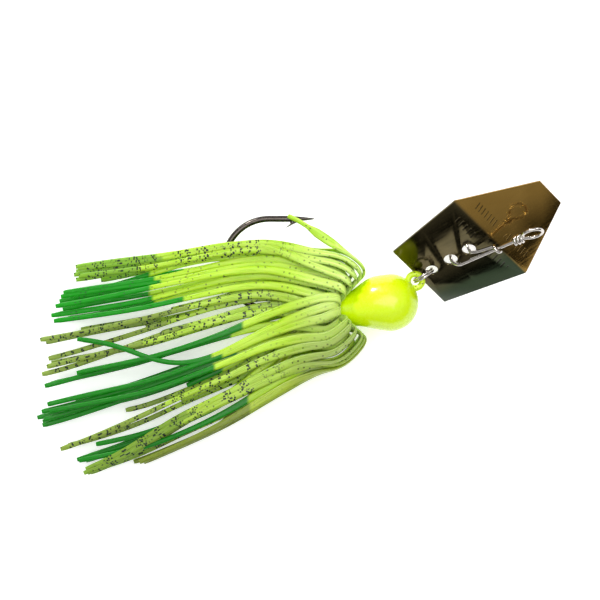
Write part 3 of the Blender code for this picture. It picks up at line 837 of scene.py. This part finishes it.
def make_split_ring(surface):
    across = BLADE_LENGTH_AXIS - RING_AXIS * BLADE_LENGTH_AXIS.dot(RING_AXIS)
    across.normalize()
    up = RING_AXIS.cross(across)
    total = 2 * math.tau - RING_JOG * 1.3
    steps = 180
    points = []
    for i in range(steps + 1):
        turned = total * i / steps
        t = min(max((turned - (math.tau - RING_JOG)) / RING_JOG, 0.0), 1.0)
        offset = RING_COIL_OFFSET * (2 * t * t * (3 - 2 * t) - 1)
        angle = math.radians(100) + turned
        spoke = across * math.cos(angle) + up * math.sin(angle)
        points.append(RING_CENTRE + spoke * RING_RADIUS + RING_AXIS * offset)
    bm = bmesh.new()
    tube(bm, points, [RING_WIRE_RADIUS] * len(points), 14)
    piece("ring_coils", bm, "ring", "nickel", surface, "split_ring")


def make_snap(surface):
    along, across, out = snap_axes()
    middle = blade_point(sum(SNAP_HOLES_AT) / 2, 0.0, 0.0)
    route = smooth_path([middle + along * p.x + across * p.y + out * p.z for p in snap_route()], 3)
    bm = bmesh.new()
    tube(bm, route, [SNAP_WIRE_RADIUS] * len(route), 16)
    piece("snap_wire", bm, "snap", "nickel", surface, "snap")


def make_blade():
    """The sheet with its three punched holes and softened edges."""
    half = BLADE_THICKNESS / 2
    bend = [BLADE_WIDEST_AT + BLADE_BEND_LENGTH * (i / 12 - 0.5) for i in range(13)]
    bm = bmesh.new()
    rings = []
    for along in [0.0, 8.0, *bend, 25.0, BLADE_LENGTH]:
        wide = blade_half_width(along)
        corners = ((-wide, -half), (wide, -half), (wide, half), (-wide, half))
        rings.append([bm.verts.new(blade_point(along, across, height)) for across, height in corners])
    bridge(bm, rings)
    blade = piece("blade_sheet", bm, "blade", "smoked_nickel", blade_surface(), "blade", smooth_angle=30)
    normal = blade_axes()[2]
    cutters = []
    snap_holes = [(at, SNAP_HOLE_RADIUS) for at in SNAP_HOLES_AT]
    for at, radius in [(RING_HOLE_AT, RING_HOLE_RADIUS), *snap_holes]:
        middle = blade_point(at, 0.0, 0.0)
        bm = bmesh.new()
        tube(bm, [middle - normal * 2, middle + normal * 2], [radius] * 2, 56)
        cutter = mesh_object("hole", bm)
        cutters.append(cutter)
        taken = blade.modifiers.new("hole", "BOOLEAN")
        taken.operation = "DIFFERENCE"
        taken.solver = "EXACT"
        taken.object = cutter
    soften = blade.modifiers.new("soften", "BEVEL")
    soften.width = 0.07 * MM
    soften.segments = 2
    soften.limit_method = "ANGLE"
    soften.angle_limit = math.radians(50)
    bpy.context.view_layer.update()
    shaped = bpy.data.meshes.new_from_object(blade.evaluated_get(bpy.context.evaluated_depsgraph_get()))
    blade.modifiers.clear()
    blade.data = shaped
    shaped.shade_smooth()
    shaped.set_sharp_from_angle(angle=math.radians(35))
    for cutter in cutters:
        bpy.data.objects.remove(cutter, do_unlink=True)


# ---------------------------------------------------------------- skirt pieces


# Silicones across the skirt: each holds from this share of the width at the tips upwards
SILICONE_BANDS = (
    (0.9, "silicone_chartreuse"),
    (0.74, "silicone_lime_tipped"),
    (0.52, "silicone_olive"),
    (0.27, "silicone_green"),
    (0.146, "silicone_olive"),
    (0.07, "silicone_green"),
)
CROSSING = 0.2  # a strip whose share grows more than this towards its tip is the green one that crosses
PLAIN_TIP_X = -52.0  # the strips along the bottom edge that end before this carry no bars
RECORD_SLOTS = {
    "silicone_chartreuse": "silicone_chartreuse",
    "silicone_lime_tipped": "silicone_chartreuse",
    "silicone_olive": "silicone_olive",
    "silicone_green": "silicone_green",
    "silicone_dark_olive": "silicone_dark_olive",
    "silicone_plain": "silicone_olive",
}
STRIP_HALF_WIDTH = 0.5
STRIP_FLARE = 0.42  # added to the half width in the collar
STRIP_HALF_THICKNESS = 0.25
EASING_ROUNDS = 14
REAR_FROM = 0.55  # share of a strip's faces, counted from its front tip, after which its rear half begins
REAR_BEHIND_X = -14.0


def silicone_of(lane):
    """Colour of a half strand by where its tip lies across the skirt."""
    tip, at_hook, share = lane
    if share - at_hook > CROSSING:
        return "silicone_green"
    for lowest, name in SILICONE_BANDS:
        if share > lowest:
            return name
    return "silicone_dark_olive" if tip < PLAIN_TIP_X else "silicone_plain"


def strip(bm, points, widths):
    """A rounded flat strip, broader in the collar and narrower over the hook. UV is in millimetres."""
    uv = bm.loops.layers.uv.verify()
    across_of = {}
    sides = 12
    along = tangents(points)
    lengths = [0.0]
    for a, b in zip(points, points[1:]):
        lengths.append(lengths[-1] + (b - a).length)
    rings = []
    for index, (point, tangent, width) in enumerate(zip(points, along, widths)):
        half = STRIP_HALF_WIDTH + STRIP_FLARE * ease(point.x, -42.0, -17.0)
        half *= 1.0 - 0.5 * ease(point.y, 13.5, 15.0)
        thick = STRIP_HALF_THICKNESS
        if index in (0, len(points) - 1):
            half *= 0.8
            thick *= 0.75
        across = (width - tangent * width.dot(tangent)).normalized()
        through = tangent.cross(across).normalized()
        ring = []
        for j in range(sides):
            turn = math.tau * j / sides
            c, s = math.cos(turn), math.sin(turn)
            sideways = math.copysign(abs(c) ** 0.55, c) * half
            outward = math.copysign(abs(s) ** 0.8, s) * thick
            vert = bm.verts.new(point + across * sideways + through * outward)
            across_of[vert] = (sideways, lengths[index])
            ring.append(vert)
        rings.append(ring)
    bridge(bm, rings)
    for face in bm.faces:
        for loop in face.loops:
            loop[uv].uv = across_of[loop.vert]


def relaxed(points, rounds):
    """The same path with its kinks eased out; both ends stay."""
    for unused in range(rounds):
        inner = [(a + b * 2 + c) / 4 for a, b, c in zip(points, points[1:], points[2:])]
        points = [points[0], *inner, points[-1]]
    return points


def make_strip(name, surfaces, silicone, knots, *nodes):
    points = relaxed(smooth_path([point for point, width in knots], 5), EASING_ROUNDS)
    widths = smooth_path([width for point, width in knots], 5)
    bm = bmesh.new()
    strip(bm, points, widths)
    return piece(name, bm, "lure", RECORD_SLOTS[silicone], surfaces[silicone], *nodes)


def recolour_rear(made, surface):
    """Gives a strip's rear half its own silicone, since both halves of a real one differ in colour."""
    made.data.materials.append(surface)
    for polygon in made.data.polygons:
        spot = polygon.center / MM + ORIGIN
        rear = polygon.index > len(made.data.polygons) * REAR_FROM and spot.x < REAR_BEHIND_X
        polygon.material_index = 1 if rear else 0


def make_strands(surfaces):
    """The strips that stand for the CAD's strands."""
    for number, (angle, wide, front, back) in enumerate(skirt_plan(), 1):
        knots = strand_knots(angle, wide, front, back)
        name = f"strip_{number:02d}"
        made = make_strip(name, surfaces, silicone_of(front), knots, f"strand_{number:02d}")
        recolour_rear(made, surfaces[silicone_of(back)])


# Strips drawn between the others: angle round the hub in degrees, whether it folds wide, then the
# x of its tip and its share of the skirt's width at the hook and at the tip
MORE_STRIPS = (
    (30.0, True, (-61.2, 0.97, 0.975)),
    (42.0, True, (-61.0, 0.94, 0.94)),
    (66.0, True, (-65.6, 0.83, 0.83)),
    (80.0, True, (-61.4, 0.5, 0.49)),
    (100.0, True, (-67.2, 0.39, 0.375)),
    (118.0, True, (-66.8, 0.34, 0.34)),
    (138.0, True, (-59.6, 0.17, 0.045)),
    (154.0, True, (-58.9, 0.135, 0.02)),
    (170.0, True, (-49.0, 0.02, 0.01)),
    (26.0, False, (-61.6, 0.93, 0.925)),
    (51.0, False, (-64.6, 0.85, 0.86)),
    (77.0, False, (-66.0, 0.74, 0.76)),
    (103.0, False, (-67.4, 0.58, 0.55)),
    (122.0, False, (-68.0, 0.36, 0.32)),
    (149.0, False, (-59.3, 0.16, 0.02)),
    (161.0, False, (-61.0, 0.07, 0.08)),
    (-30.0, True, (-57.0, 0.93, 0.92)),
    (-72.0, True, (-61.0, 0.7, 0.69)),
    (-108.0, True, (-62.0, 0.4, 0.36)),
    (-150.0, True, (-60.0, 0.14, 0.08)),
    (-170.0, True, (-48.5, 0.0, 0.0)),
    (-50.0, False, (-63.0, 0.77, 0.76)),
    (-130.0, False, (-63.0, 0.33, 0.34)),
)
STUB_TIP_X = -21.0


def make_more_strips(surfaces):
    """Strips that fill the skirt, with a short rear half that stays under the others."""
    for number, (degrees, wide, lane) in enumerate(MORE_STRIPS, 1):
        stub = (STUB_TIP_X, lane[1], lane[1])
        knots = strand_knots(math.radians(degrees), wide, lane, stub)
        make_strip(f"strip_more_{number:02d}", surfaces, silicone_of(lane), knots)


# ---------------------------------------------------------------- stage


# Lamps: name, direction from the lure, distance, side and power
LAMPS = (
    ("key", (-0.40, 0.83, 0.42), 0.75, 0.12, 3.2),
    ("second", (0.577, 0.81, 0.22), 0.75, 0.1, 1.8),
    ("overhead", (0.05, 0.1, 1.0), 1.1, 0.9, 7.0),
)
# Brightness of the sky by height, dark at the horizon so that the metal shows dark reflections
SKY_STOPS = ((0.0, 0.02), (0.12, 0.06), (0.3, 0.45), (0.55, 1.0), (1.0, 1.0))
SKY_STRENGTH = 0.62
FLOOR_HALF = 0.4
CAMERA_AIM = (-17.65, 0.49, HOOK_Z)
CAMERA_DISTANCE = 0.6
CAMERA_LENS = 183.67


def make_floor():
    mesh = bpy.data.meshes.new("floor")
    corners = [(x * FLOOR_HALF, y * FLOOR_HALF, 0.0) for x, y in ((-1, -1), (1, -1), (1, 1), (-1, 1))]
    mesh.from_pydata(corners, [], [(0, 1, 2, 3)])
    floor = bpy.data.objects.new("floor", mesh)
    bpy.context.scene.collection.objects.link(floor)
    made = Surface("floor").set(Roughness=0.9, Emission_Color=(1.0, 1.0, 1.0, 1.0), Emission_Strength=0.42)
    made.set(Base_Color=(0.9, 0.9, 0.9, 1.0), Specular_IOR_Level=0.1)
    mesh.materials.append(made.material)


def make_sky():
    """A soft box overhead for the lure, and one pale tone behind it for the camera."""
    world = bpy.data.worlds.new("studio")
    bpy.context.scene.world = world
    world.use_nodes = True
    nodes, links = world.node_tree.nodes, world.node_tree.links
    background = nodes["Background"]
    coordinates = nodes.new("ShaderNodeTexCoord")
    split = nodes.new("ShaderNodeSeparateXYZ")
    ramp = nodes.new("ShaderNodeValToRGB")
    links.new(coordinates.outputs["Generated"], split.inputs[0])
    links.new(split.outputs[2], ramp.inputs[0])
    links.new(ramp.outputs[0], background.inputs[0])
    while len(ramp.color_ramp.elements) < len(SKY_STOPS):
        ramp.color_ramp.elements.new(0.5)
    for element, (position, value) in zip(ramp.color_ramp.elements, SKY_STOPS):
        element.position = position
        element.color = (value, value, value, 1.0)
    background.inputs[1].default_value = SKY_STRENGTH
    seen = nodes.new("ShaderNodeBackground")
    seen.inputs[0].default_value = (0.93, 0.93, 0.93, 1.0)
    paths = nodes.new("ShaderNodeLightPath")
    chosen = nodes.new("ShaderNodeMixShader")
    links.new(paths.outputs["Is Camera Ray"], chosen.inputs[0])
    links.new(background.outputs[0], chosen.inputs[1])
    links.new(seen.outputs[0], chosen.inputs[2])
    links.new(chosen.outputs[0], nodes["World Output"].inputs[0])


def make_lamps():
    middle = Vector((0.0, 0.0, 0.007))
    for name, direction, distance, size, power in LAMPS:
        light = bpy.data.lights.new(name, "AREA")
        light.size = size
        light.energy = power
        lamp = bpy.data.objects.new(name, light)
        lamp.location = middle + Vector(direction).normalized() * distance
        lamp.rotation_euler = (lamp.location - middle).to_track_quat("Z", "Y").to_euler()
        bpy.context.scene.collection.objects.link(lamp)


def make_camera():
    bpy.context.scene.view_settings.view_transform = "Standard"
    view = bpy.data.cameras.new("camera")
    view.sensor_width = 36.0
    view.lens = CAMERA_LENS
    view.clip_start = 0.01
    camera = bpy.data.objects.new("camera", view)
    camera.location = place(CAMERA_AIM) + Vector((0.0, 0.0, CAMERA_DISTANCE))
    bpy.context.scene.collection.objects.link(camera)
    bpy.context.scene.camera = camera


make_camera()
make_floor()
make_sky()
make_lamps()
nickel = wire_surface("nickel_wire", (0.42, 0.39, 0.36), (0.7, 0.66, 0.62), 0.16)
make_hook()
make_head()
make_band()
make_split_ring(nickel)
make_blade()
make_snap(nickel)
silicones = {name: silicone_surface(name) for name in SILICONES}
make_strands(silicones)
make_more_strips(silicones)
